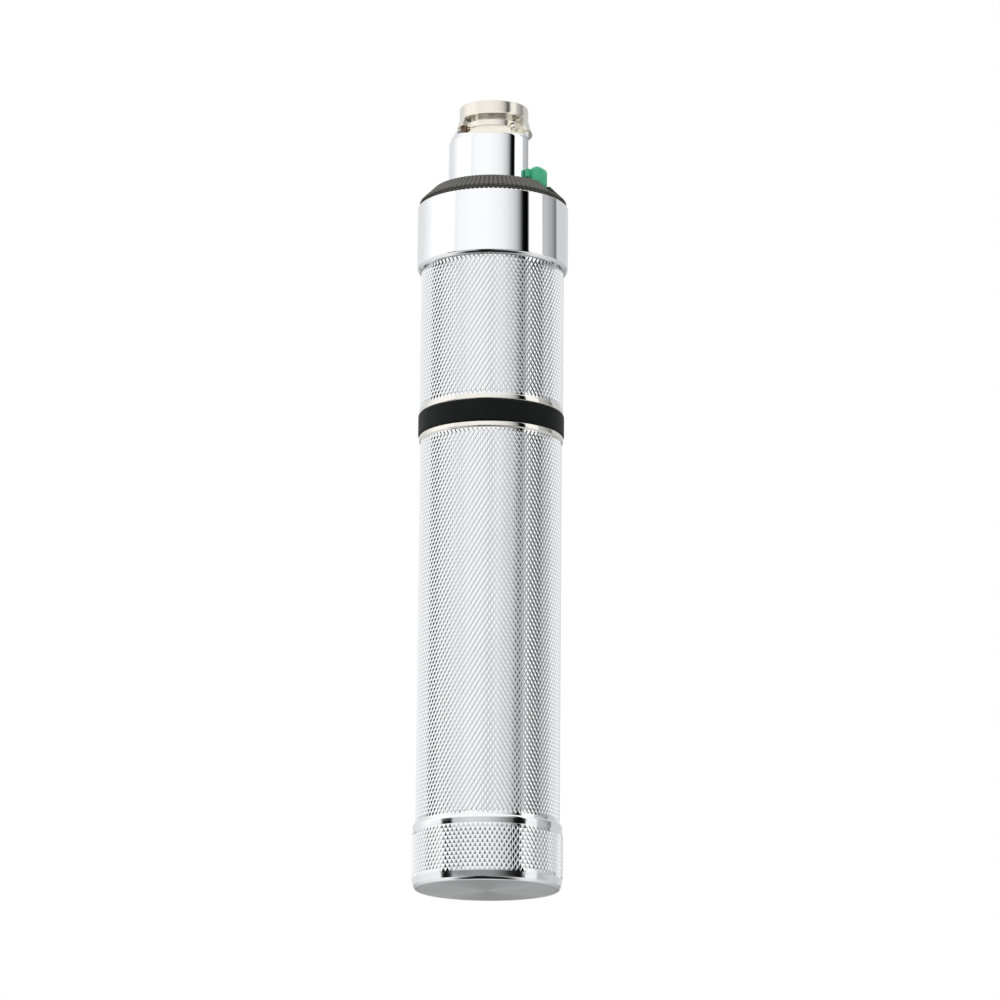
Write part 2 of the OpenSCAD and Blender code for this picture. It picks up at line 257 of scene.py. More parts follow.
def knurled(name, r_top, depth, z0, z1, around, pitch_z, rest, land, crown=0.0, pits=False, taper=0.0):
    """A turned piece with a diamond pattern from z0 to z1.

    Lines cross on a lattice of half pitches. With pits, the lines are ridges at r_top, and each diamond is a
    pit whose floor is a short level valley. Otherwise the lines are grooves, and each diamond rises to a
    crowned land. land is the valley's or the land's share of the diamond. Both ends draw in by taper. rest is
    the outline of (r, z) that closes the piece, from above z1 round the inside to below z0.
    """
    columns = 2 * around
    rows = max(2, 2 * round((z1 - z0) / pitch_z))
    step = (z1 - z0) / rows
    r_line = r_top if pits else r_top - depth
    verts, faces, crossing = [], [], {}

    def add(r, column, z):
        """Adds a point of the lattice and says its number."""
        verts.append(on_circle(r, TAU * column / columns, z))
        return len(verts) - 1

    for row in range(rows + 1):
        for column in range(columns):
            if (column + row) % 2 == 0 or row in (0, rows):
                drawn_in = taper if row in (0, rows) else 0
                crossing[column, row] = add(r_line - drawn_in, column, z0 + row * step)
    for row in range(rows + 1):
        z = z0 + row * step
        for column in range(columns):
            if (column + row) % 2 == 0:
                continue
            left = crossing[(column - 1) % columns, row]
            right = crossing[(column + 1) % columns, row]
            if row in (0, rows):
                middle = crossing[column, row]
                tip = crossing[column, row + (1 if row == 0 else -1)]
                faces.append((left, middle, right, tip) if row == 0 else (left, tip, right, middle))
                continue
            below, above = crossing[column, row - 1], crossing[column, row + 1]
            edge = [left, below, right, above]
            if pits:
                a, b = add(r_top - depth, column - land, z), add(r_top - depth, column + land, z)
                faces += [
                    (left, below, a), (left, a, above), (a, b, above),
                    (b, a, below), (b, right, above), (right, b, below),
                ]
                continue
            corner = [
                add(r_top - crown, column - land, z),
                add(r_top - crown, column, z - land * step),
                add(r_top - crown, column + land, z),
                add(r_top - crown, column, z + land * step),
            ]
            centre = add(r_top, column, z)
            for k in range(4):
                n = (k + 1) % 4
                faces.append((edge[k], edge[n], corner[n], corner[k]))
                faces.append((corner[k], corner[n], centre))
    loops = [[crossing[c, rows] for c in range(columns)]]
    for r, z in rest:
        loops.append([add(r, c, z) for c in range(columns)])
    loops.append([crossing[c, 0] for c in range(columns)])
    for low, high in zip(loops, loops[1:]):
        for c in range(columns):
            n = (c + 1) % columns
            faces.append((low[c], low[n], high[n], high[c]))
    return add_object(name, verts, faces)


def coil(name, r0, r1, wire_r, z0, z1, turns, sides=12, steps_per_turn=40):
    """A spring of round wire from radius r0 at z0 to r1 at z1, with flatter end turns."""
    steps = int(turns * steps_per_turn)
    verts, faces = [], []
    for i in range(steps + 1):
        t = i / steps
        angle = TAU * turns * t
        eased = t * t * (3 - 2 * t)
        rise = 0.5 * (t + eased)
        r = r0 + (r1 - r0) * t
        z = z0 + wire_r + (z1 - z0 - 2 * wire_r) * rise
        for j in range(sides):
            b = TAU * j / sides
            verts.append(on_circle(r + wire_r * math.cos(b), angle, z + wire_r * math.sin(b)))
    for i in range(steps):
        for j in range(sides):
            n = (j + 1) % sides
            faces.append((i * sides + j, (i + 1) * sides + j, (i + 1) * sides + n, i * sides + n))
    faces.append(tuple(range(sides)))
    faces.append(tuple(steps * sides + j for j in reversed(range(sides))))
    return add_object(name, verts, faces)


# ---- Materials ----


def material(name, color, metallic, roughness):
    """A Principled material; returns it with its nodes, links and shader."""
    mat = bpy.data.materials.new(name)
    mat.use_nodes = True
    nodes, links = mat.node_tree.nodes, mat.node_tree.links
    shader = nodes["Principled BSDF"]
    shader.inputs["Base Color"].default_value = (*color, 1)
    shader.inputs["Metallic"].default_value = metallic
    shader.inputs["Roughness"].default_value = roughness
    return mat, nodes, links, shader


def noise(nodes, links, scale, detail, stretch=(1, 1, 1)):
    """Noise over object space; the scale is in waves per metre."""
    place = nodes.new("ShaderNodeTexCoord")
    mapping = nodes.new("ShaderNodeMapping")
    mapping.inputs["Scale"].default_value = stretch
    tex = nodes.new("ShaderNodeTexNoise")
    tex.inputs["Scale"].default_value = scale
    tex.inputs["Detail"].default_value = detail
    links.new(place.outputs["Object"], mapping.inputs["Vector"])
    links.new(mapping.outputs["Vector"], tex.inputs["Vector"])
    return tex


def spread(nodes, links, source, low, high):
    """Maps the middle of a noise output to a range."""
    remap = nodes.new("ShaderNodeMapRange")
    remap.inputs["From Min"].default_value = 0.3
    remap.inputs["From Max"].default_value = 0.7
    remap.inputs["To Min"].default_value = low
    remap.inputs["To Max"].default_value = high
    links.new(source, remap.inputs["Value"])
    return remap.outputs["Result"]


def bump(nodes, links, shader, source, distance):
    """A surface relief of the given height in metres."""
    node = nodes.new("ShaderNodeBump")
    node.inputs["Distance"].default_value = distance
    node.inputs["Strength"].default_value = 1.0
    links.new(source, node.inputs["Height"])
    links.new(node.outputs["Normal"], shader.inputs["Normal"])


def tinted(nodes, links, shader, source, dark, light):
    """Drifts the base colour between two colours."""
    mix = nodes.new("ShaderNodeMix")
    mix.data_type = "RGBA"
    mix.inputs["A"].default_value = (*dark, 1)
    mix.inputs["B"].default_value = (*light, 1)
    links.new(source, mix.inputs["Factor"])
    links.new(mix.outputs["Result"], shader.inputs["Base Color"])


def metal(name, dark, light, rough_low, rough_high, bump_mm=0.0, stretch=(1, 1, 1), turned_finish=False):
    """Plated metal with faint handling marks in its colour and roughness.

    It may have a fine grain, marks drawn out along an axis, or the circular finish of a turned face.
    """
    mat, nodes, links, shader = material(name, light, 1.0, rough_low)
    wear = noise(nodes, links, 900, 5.0, stretch)
    links.new(spread(nodes, links, wear.outputs["Fac"], rough_low, rough_high), shader.inputs["Roughness"])
    cloud = noise(nodes, links, 60, 2.0)
    tinted(nodes, links, shader, cloud.outputs["Fac"], dark, light)
    if turned_finish:
        shader.inputs["Anisotropic"].default_value = 0.75
        tangent = nodes.new("ShaderNodeTangent")
        tangent.direction_type, tangent.axis = "RADIAL", "Z"
        links.new(tangent.outputs["Tangent"], shader.inputs["Tangent"])
    if bump_mm:
        grain = noise(nodes, links, 2500, 2.0, stretch)
        bump(nodes, links, shader, grain.outputs["Fac"], bump_mm * MM)
    return mat


def plastic(name, dark, light, rough_low, rough_high, grain_mm, grain_scale, shine=0.5):
    """Moulded plastic or rubber: slight colour variation and a fine moulded grain."""
    mat, nodes, links, shader = material(name, light, 0.0, rough_low)
    cloud = noise(nodes, links, 250, 4.0)
    tinted(nodes, links, shader, cloud.outputs["Fac"], dark, light)
    grain = noise(nodes, links, grain_scale, 3.0)
    links.new(spread(nodes, links, grain.outputs["Fac"], rough_low, rough_high), shader.inputs["Roughness"])
    bump(nodes, links, shader, grain.outputs["Fac"], grain_mm * MM)
    shader.inputs["Specular IOR Level"].default_value = shine
    return mat


# Each has a darker and a lighter colour, then its least and greatest roughness. A plastic's last two numbers
# are its grain's height in mm and its scale
MATERIALS = {
    "chrome": metal("chrome", (0.93, 0.94, 0.95), (0.955, 0.96, 0.965), 0.012, 0.03),
    "knurled_chrome": metal("knurled_chrome", (0.91, 0.92, 0.93), (0.95, 0.955, 0.96), 0.05, 0.09),
    "coarse_knurled_chrome": metal(
        "coarse_knurled_chrome", (0.91, 0.915, 0.92), (0.95, 0.95, 0.955), 0.05, 0.09),
    "satin_aluminium": metal(
        "satin_aluminium", (0.72, 0.735, 0.73), (0.77, 0.785, 0.78), 0.34, 0.42, turned_finish=True),
    "nickel": metal("nickel", (0.86, 0.83, 0.77), (0.90, 0.87, 0.80), 0.04, 0.08),
    "satin_nickel": metal(
        "satin_nickel", (0.84, 0.80, 0.71), (0.89, 0.85, 0.76), 0.16, 0.24, stretch=(1, 1, 12)),
    "black_rubber": plastic(
        "black_rubber", (0.004, 0.006, 0.005), (0.009, 0.013, 0.010), 0.42, 0.60, 0.012, 4000, shine=0.12),
    "dark_plastic": plastic(
        "dark_plastic", (0.085, 0.083, 0.072), (0.125, 0.122, 0.105), 0.42, 0.60, 0.006, 5000),
    "green_plastic": plastic(
        "green_plastic", (0.055, 0.52, 0.26), (0.085, 0.62, 0.33), 0.32, 0.42, 0.003, 3000),
    "brass": metal("brass", (0.70, 0.50, 0.20), (0.83, 0.62, 0.28), 0.12, 0.24),
    "copper_wire": metal("copper_wire", (0.52, 0.30, 0.17), (0.66, 0.40, 0.24), 0.25, 0.40, bump_mm=0.01),
    "spring_steel": metal("spring_steel", (0.60, 0.61, 0.63), (0.70, 0.71, 0.73), 0.18, 0.30),
    "ivory_plastic": plastic(
        "ivory_plastic", (0.62, 0.58, 0.47), (0.72, 0.68, 0.58), 0.40, 0.55, 0.004, 3000),
    # phenolic also colours the dark block in the bayonet's notch, where it is painted shade
    "phenolic": plastic("phenolic", (0.10, 0.045, 0.020), (0.20, 0.095, 0.045), 0.35, 0.55, 0.006, 2500),
    "seal_rubber": plastic(
        "seal_rubber", (0.010, 0.010, 0.010), (0.022, 0.022, 0.022), 0.45, 0.60, 0.004, 3000),
    "washer_fibre": plastic("washer_fibre", (0.34, 0.26, 0.17), (0.48, 0.39, 0.27), 0.75, 0.90, 0.02, 2500),
    "cell_can": metal("cell_can", (0.74, 0.75, 0.76), (0.82, 0.83, 0.84), 0.14, 0.28),
    "cell_wrap": plastic("cell_wrap", (0.040, 0.11, 0.22), (0.055, 0.14, 0.27), 0.18, 0.28, 0.002, 1500),
}


def finish_piece(obj, body, slot, *nodes, sharp_deg=30):
    """Gives a new piece its material and shading, and ties it to its body and CAD nodes."""
    obj.data.materials.clear()
    obj.data.materials.append(MATERIALS[slot])
    shade(obj, sharp_deg)
    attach(obj, body)
    if nodes:
        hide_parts(*nodes)
    return obj


# ---- Pieces ----

SLEEVE_KNURL = {
    "depth": 0.26 * MM, "around": 94, "pitch_z": 1.56 * MM, "land": 0.50, "crown": 0.018 * MM,
}
CAP_KNURL = {
    "depth": 0.20 * MM, "around": 98, "pitch_z": 1.70 * MM, "land": 0.55, "pits": True, "taper": 0.09 * MM,
}
SLEEVE_EDGE = 0.03 * MM
RIBS = 96


def lower_sleeve():
    """The long knurled tube, bored at its top for the joining sleeve."""
    z0, z1 = LOWER_SLEEVE
    r = radius_of("lower_sleeve")
    low = r - SLEEVE_KNURL["depth"]
    step_z = z1 - SPIGOT_LENGTH
    from_z, to_z = z0 + 0.2 * MM, z1 - SLEEVE_EDGE
    rest = [(low, z1), (SPIGOT_R, z1), (SPIGOT_R, step_z), (BORE_R, step_z), (BORE_R, z0), (low, z0)]
    obj = knurled("lower_sleeve_knurled", r, z0=from_z, z1=to_z, rest=rest, **SLEEVE_KNURL)
    return finish_piece(obj, "handle", "knurled_chrome", "lower_sleeve", sharp_deg=12)


def upper_sleeve():
    """The short knurled tube below the collar, with the spigot inside the collar."""
    z0, spigot_top = UPPER_SLEEVE
    z1 = COLLAR[0]
    r = radius_of("upper_sleeve")
    low = r - SLEEVE_KNURL["depth"]
    bore = 13.6 * MM
    spigot_r = SPIGOT_R - 0.02 * MM
    step_z = z0 + SPIGOT_LENGTH
    from_z, to_z = z0 + SLEEVE_EDGE, z1 - SLEEVE_EDGE
    rest = [
        (low, z1), (spigot_r, z1), (spigot_r, spigot_top), (bore, spigot_top),
        (bore, step_z), (SPIGOT_R, step_z), (SPIGOT_R, z0), (low, z0),
    ]
    obj = knurled("upper_sleeve_knurled", r, z0=from_z, z1=to_z, rest=rest, **SLEEVE_KNURL)
    return finish_piece(obj, "handle", "knurled_chrome", "upper_sleeve", sharp_deg=12)


def thread_bush():
    """The bush the cap screws on, with a three-start right-hand thread below the seal's groove."""
    r = radius_of("cap_thread_bush")
    z0, z1 = span("cap_thread_bush")
    shoulder_z = LOWER_SLEEVE[0]
    inner_r, groove_r = 13.25 * MM, r - 0.35 * MM
    thread_z0, groove_z0, groove_z1 = 5.25 * MM, 11.2 * MM, 12.2 * MM
    lead, starts, depth, steps = 4.5 * MM, 3, 0.4 * MM, 72
    outline = [(inner_r, z0), (r - depth, z0)]
    first = len(outline)
    outline += [(r, thread_z0 + (groove_z0 - thread_z0) * k / steps) for k in range(steps + 1)]
    last = len(outline)
    outline += [
        (groove_r, groove_z0), (groove_r, groove_z1), (r, groove_z1), (r, shoulder_z),
        (BORE_R, shoulder_z), (BORE_R, z1), (inner_r, z1),
    ]

    def thread(i, angle):
        """How far the thread's flanks and root lie under its crest."""
        if not first <= i < last:
            return 0
        phase = starts * (outline[i][1] / lead - angle / TAU) % 1
        return -depth * min(1, max(0, 2.2 * abs(2 * phase - 1) - 0.5))

    obj = turned("cap_thread_bush_threaded", outline, 288, thread)
    return finish_piece(obj, "handle", "nickel", "cap_thread_bush")


def cap_shell():
    """The knurled cap: a plain rim above, a rounded foot below, and a pocket in its base for the disc."""
    rim = radius_of("cap_shell")
    r = rim - 0.05 * MM
    z0, z1 = 1.86 * MM, CAP_TOP - 1.72 * MM
    bore, disc_r, axis_r = 13.95 * MM, 13.7 * MM, 0.001 * MM
    floor_z, pocket_z = 2.2 * MM, 0.8 * MM
    plain_rim = [
        (r - 0.12 * MM, z1 + 0.03 * MM, 0), (r - 0.27 * MM, z1 + 0.06 * MM, 0),
        (r - 0.08 * MM, z1 + 1.3 * MM, 0.5 * MM), (r - 0.32 * MM, CAP_TOP, 0.25 * MM),
    ]
    inside = [(bore, CAP_TOP, 0.08 * MM), (bore, floor_z, 0.3 * MM), (axis_r, floor_z, 0)]
    pocket = [(axis_r, pocket_z, 0), (disc_r, pocket_z, 0.05 * MM), (disc_r, 0, 0.05 * MM)]
    foot = [
        (rim - 1.12 * MM, 0, 0.08 * MM), (rim - 0.70 * MM, 0.16 * MM, 0.15 * MM),
        (rim - 0.36 * MM, 0.66 * MM, 0.3 * MM), (r - 0.10 * MM, z0 - 0.04 * MM, 0),
    ]
    outline = filleted(plain_rim + inside + pocket + foot)
    obj = knurled("cap_shell_knurled", r, z0=z0, z1=z1, rest=outline, **CAP_KNURL)
    return finish_piece(obj, "cap", "coarse_knurled_chrome", "cap_shell", sharp_deg=13)


def band_ring(name, node, bulge, slot):
    """A ring round the joining sleeve with softly rounded corners."""
    z0, z1 = span(node)
    r = radius_of(node)
    outline = filleted([
        (SPIGOT_R, z0, 0), (r, z0, bulge), (r, z1, bulge), (SPIGOT_R, z1, 0),
    ], steps=8)
    return finish_piece(turned(name, outline), "handle", slot, node)


def collar():
    """The smooth chrome collar, whose upper lip keeps the dimmer ring's flange in."""
    z0, z1 = COLLAR
    r = radius_of("collar")
    lip, bore = 12 * MM, 13 * MM
    under, chamfer = 0.5 * MM, 0.42 * MM
    lip_z, flange_z = z1 - 1.5 * MM, z0 + 4.6 * MM
    outline = filleted([
        (SPIGOT_R, z0 + under, 0), (r - 0.75 * MM, z0 + under, 0), (r - 0.62 * MM, z0, 0.1 * MM),
        (r - 0.45 * MM, z0, 0.15 * MM), (r, z0 + under, 0.6 * MM),
        (r, z1 - chamfer, 0.15 * MM), (r - chamfer, z1, 0.12 * MM), (lip, z1, 0.15 * MM),
        (lip, lip_z, 0.05 * MM), (bore, lip_z, 0), (bore, flange_z, 0), (SPIGOT_R, flange_z, 0),
    ], steps=8)
    return finish_piece(turned("collar_polished", outline, 360), "handle", "chrome", "collar")


def dish_cutter():
    """A body as long as the neck is wide, with a rounded underside that dishes its rim."""
    dish_r, half, steps = 20 * MM, math.radians(32), 96
    top, reach = NECK_TOP + 12 * MM, 14 * MM
    arc = [-half + 2 * half * k / steps for k in range(steps + 1)]
    section = [(dish_r * math.sin(a), NECK_TOP + dish_r * (1 - math.cos(a))) for a in arc]
    section += [(section[-1][0], top), (section[0][0], top)]
    count = len(section)
    points = [(x, y, z) for y in (-reach, reach) for x, z in section]
    faces = [tuple(range(count)), tuple(reversed(range(count, 2 * count)))]
    faces += [(i, i + count, (i + 1) % count + count, (i + 1) % count) for i in range(count)]
    return add_object("dish", points, faces)


def neck():
    """The chrome neck. Its rim is dished front and back, and rises to an ear under each lug."""
    z0 = span("neck_sleeve")[0]
    r = 9.2 * MM
    insulator_r = 4.2 * MM
    flange_r = 12.9 * MM
    flange_z = z0 + 1.2 * MM
    socket_z = NECK_TOP - 4.7 * MM
    outline = filleted([
        (insulator_r, z0, 0), (flange_r, z0, 0.1 * MM), (flange_r, flange_z, 0.1 * MM), (r, flange_z, 0),
        (r, NECK_TOP + 0.1 * MM, 1.4 * MM), (r - 0.55 * MM, NECK_TOP + 1.5 * MM, 1.0 * MM),
        (EAR_R, EAR_Z, 0.05 * MM), (FOOT_R, EAR_Z, 0), (FOOT_R, NECK_TOP, 0), (NECK_SPIGOT_R, NECK_TOP, 0),
        (NECK_SPIGOT_R, socket_z, 0), (insulator_r, socket_z, 0),
    ])
    obj = turned("neck_polished", outline, 288)
    low, high = NECK_TOP - 1 * MM, NECK_TOP + 11 * MM
    reach = [(1 * MM, low), (13 * MM, low), (13 * MM, high), (1 * MM, high)]
    for side in (0, 180):
        dish = dish_cutter()
        limit = turned_sector("limit", reach, side, 62)
        combine(obj, combine(dish, limit, "INTERSECT"), "DIFFERENCE")
    flat_cut(obj)
    bevelled(obj, 0.09 * MM)
    return finish_piece(obj, "handle", "chrome", "neck_sleeve")


def flat_cut(obj):
    """Cuts the milled flat on the +X side, up into the foot of the lug."""
    flat_x, out_x, half_width = 7.1 * MM, 12 * MM, 11 * MM
    z0, z1 = RING_TOP - 0.6 * MM, NECK_TOP + 2.65 * MM
    combine(obj, block("flat", (flat_x, -half_width, z0), (out_x, half_width, z1)), "DIFFERENCE")


def fitting():
    """The nickel socket: windows front and back leave two lugs, and a groove runs under the locking ring."""
    bore, barrel_r, ring_r, out_r = 5.2 * MM, 6.4 * MM, 7.1 * MM, 9.6 * MM
    bead_z, groove_z, ring_z = NECK_TOP + 2.75 * MM, NECK_TOP + 3.95 * MM, NECK_TOP + 5.1 * MM
    outline = filleted([
        (bore, FITTING[0], 0), (NECK_SPIGOT_R, FITTING[0], 0.05 * MM),
        (NECK_SPIGOT_R, NECK_TOP, 0), (FOOT_R, NECK_TOP, 0),
        (FOOT_R, EAR_Z, 0), (EAR_R, EAR_Z, 0.1 * MM), (EAR_R - 0.4 * MM, EAR_Z + 0.9 * MM, 0.8 * MM),
        (EAR_R - 0.74 * MM, EAR_Z + 2.05 * MM, 0.8 * MM), (ring_r, EAR_Z + 3.2 * MM, 0.8 * MM),
        (ring_r, TOP, 0.35 * MM), (bore, TOP, 0.25 * MM),
    ])
    obj = turned("bayonet_socket", outline, 256)
    window = [
        (FOOT_R, NECK_TOP), (out_r, NECK_TOP), (out_r, ring_z), (5.5 * MM, ring_z), (5.45 * MM, groove_z),
        (barrel_r, groove_z), (barrel_r, bead_z + 0.1 * MM), (barrel_r + 0.08 * MM, bead_z),
    ]
    for side in (0, 180):
        combine(obj, turned_sector("window", window, side, 57, 72), "DIFFERENCE")
    notch_r, low, high = 6.85 * MM, EAR_Z - 0.9 * MM, EAR_Z + 1.0 * MM
    notch = [(notch_r, low), (out_r, low), (out_r, high), (notch_r, high)]
    combine(obj, turned_sector("notch", notch, NOTCH_AZIMUTH, 11, 12), "DIFFERENCE")
    flat_cut(obj)
    combine(obj, ball_hole(), "DIFFERENCE")
    bevelled(obj, 0.07 * MM)
    # A dark phenolic block fills the notch. It is painted shade standing in for the shadow inside the notch,
    # not a key of the real socket
    painted_shade_r, painted_shade_gap = 6.6 * MM, 0.05 * MM
    low, high = low + painted_shade_gap, high - painted_shade_gap
    painted_shade_outline = [(painted_shade_r, low), (7.25 * MM, low), (7.0 * MM, high), (painted_shade_r, high)]
    finish_piece(turned_sector("bayonet_notch_painted_shade", painted_shade_outline, NOTCH_AZIMUTH, 10.5, 12), "handle", "phenolic")
    return finish_piece(obj, "handle", "satin_nickel", "bayonet_fitting")


def ball_hole():
    """The radial hole the detent ball sits in, for cutting."""
    hole_r, near, far = 1.03 * MM, 4.6 * MM, 8.6 * MM
    hole = turned("hole", [(0, near), (hole_r, near), (hole_r, far), (0, far)], 48)
    lift = Matrix.Translation((0, 0, sum(span("detent_ball")) / 2))
    hole.data.transform(lift @ spin_matrix(BALL_AZIMUTH) @ Matrix.Rotation(math.radians(90), 4, "Y"))
    return hole


def detent_ball():
    """The ball whose crown stands out of the fitting."""
    lo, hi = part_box("detent_ball")
    centre = (lo + hi) / 2
    r = (hi.z - lo.z) / 2
    steps = 24
    angles = [math.pi * k / steps for k in range(steps + 1)]
    outline = [(r * math.sin(a), -r * math.cos(a)) for a in angles]
    outline[0], outline[-1] = (0, -r), (0, r)
    obj = turned("detent_ball_polished", outline, 48)
    obj.data.transform(Matrix.Translation(centre))
    return finish_piece(obj, "detent", "satin_nickel", "detent_ball", sharp_deg=80)


def dimmer_ring():
    """The ribbed conical grip of the dimmer ring, with its skirt and flange inside the collar."""
    r = radius_of("rheostat_ring")
    z0 = RING_TOP - 3.05 * MM
    low = z0 - 0.3 * MM
    bore, rim_r = 9.25 * MM, 12.5 * MM
    skirt_in, skirt_out, flange_r = 10.3 * MM, 11.6 * MM, 12.7 * MM
    skirt_z = span("rheostat_ring")[0]
    flange_top = COLLAR[1] - 1.85 * MM
    foot_z, rim_z = z0 + 0.35 * MM, RING_TOP - 0.12 * MM
    corners = [
        (bore, z0, 0), (skirt_in, z0, 0), (skirt_in, skirt_z, 0.05 * MM), (flange_r, skirt_z, 0.1 * MM),
        (flange_r, flange_top, 0.1 * MM), (skirt_out, flange_top, 0), (skirt_out, low, 0),
        (r - 0.42 * MM, low, 0), (r - 0.4 * MM, z0, 0),
    ]
    ribbed_from = len(filleted(corners))
    slope = [(r - 0.02 * MM, z0 + 0.02 * MM), (r, foot_z)]
    steps = 6
    for k in range(1, steps + 1):
        t = k / steps
        slope.append((r + (rim_r - r) * t, foot_z + (rim_z - foot_z) * t))
    slope.append((rim_r - 0.12 * MM, RING_TOP - 0.02 * MM))
    outline = filleted(corners) + slope
    ribbed_to = len(outline)
    outline += [(rim_r - 0.5 * MM, RING_TOP), (bore + 0.1 * MM, RING_TOP), (bore, RING_TOP - 0.1 * MM)]
    depth = 0.34 * MM

    def ribs(i, angle):
        """How deep the cusped valleys between the ribs are."""
        if not ribbed_from <= i < ribbed_to:
            return 0
        wave = abs(math.sin(angle * RIBS / 2))
        return -depth * (1 - min(1, 1.5 * wave)) if wave < 0.667 else 0

    obj = turned("dimmer_ring_ribbed", outline, RIBS * 10, ribs)
    notch_z, half_width = z0 + 0.45 * MM, 2.25 * MM
    notch = block("notch", (9.4 * MM, -half_width, notch_z), (18 * MM, half_width, notch_z + 6 * MM))
    combine(obj, spin(notch, BUTTON_AZIMUTH), "DIFFERENCE")
    return finish_piece(obj, "dimmer_ring", "dark_plastic", "rheostat_ring")


def lock_button():
    """The green button: a rounded block, with a low foot that curves round the neck beside it."""
    in_r, out_r, width = 9.5 * MM, 12.2 * MM, 4 * MM
    lo, hi = BUTTON
    obj = block("lock_button_moulded", (in_r, -width / 2, lo), (out_r, width / 2, hi))
    spin(obj, BUTTON_AZIMUTH)
    bevelled(obj, 1.15 * MM, 8)
    near, far, low, high = 9.4 * MM, 10.35 * MM, RING_TOP + 1.15 * MM, RING_TOP + 2.9 * MM
    section = [(near, low), (far, low), (far, high), (near, high)]
    foot = turned_sector("foot", section, BUTTON_AZIMUTH - 8.5, 7.5, 24)
    bevelled(foot, 0.3 * MM, 4)
    combine(obj, foot, "UNION")
    return finish_piece(obj, "button", "green_plastic", "lock_button", sharp_deg=50)


def springs():
    """The cap's conical spring, the contact pin's spring and the small one under the button."""
    lo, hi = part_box("cap_spring")
    cap = coil("cap_spring_wire", 10 * MM, 5.5 * MM, 0.45 * MM, lo.z, hi.z, 3.5)
    finish_piece(cap, "spring_carrier", "spring_steel", "cap_spring")
    lo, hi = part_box("contact_pin_spring")
    contact = coil("contact_pin_spring_wire", 2.05 * MM, 2.05 * MM, 0.25 * MM, lo.z, hi.z, 9, 10, 24)
    finish_piece(contact, "handle", "spring_steel", "contact_pin_spring")
    lo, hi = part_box("lock_button_spring")
    centre = (lo + hi) / 2
    small = coil("lock_button_spring_wire", 0.75 * MM, 0.75 * MM, 0.14 * MM, lo.z, hi.z, 3, 8, 20)
    small.data.transform(Matrix.Translation((centre.x, centre.y, 0)))
    finish_piece(small, "dimmer_ring", "spring_steel", "lock_button_spring")


lower_sleeve()
upper_sleeve()
thread_bush()
cap_shell()
band_ring("lower_contact_ring_polished", "lower_contact_ring", 0.4 * MM, "nickel")
band_ring("upper_contact_ring_polished", "upper_contact_ring", 0.4 * MM, "nickel")
band_ring("insulating_band_moulded", "insulating_band", 0.55 * MM, "black_rubber")
collar()
neck()
fitting()
detent_ball()
dimmer_ring()
lock_button()
springs()

# ---- CAD nodes that stay as they are get a finished material ----

slots = {s["node"]: s["material_slot"] for s in frame["record"]["subparts"]}
for node_name, obj in frame["nodes"].items():
    obj.data.materials.clear()
    obj.data.materials.append(MATERIALS[slots[node_name]])

# ---- Studio: surroundings by direction, seen only in reflections and as light ----


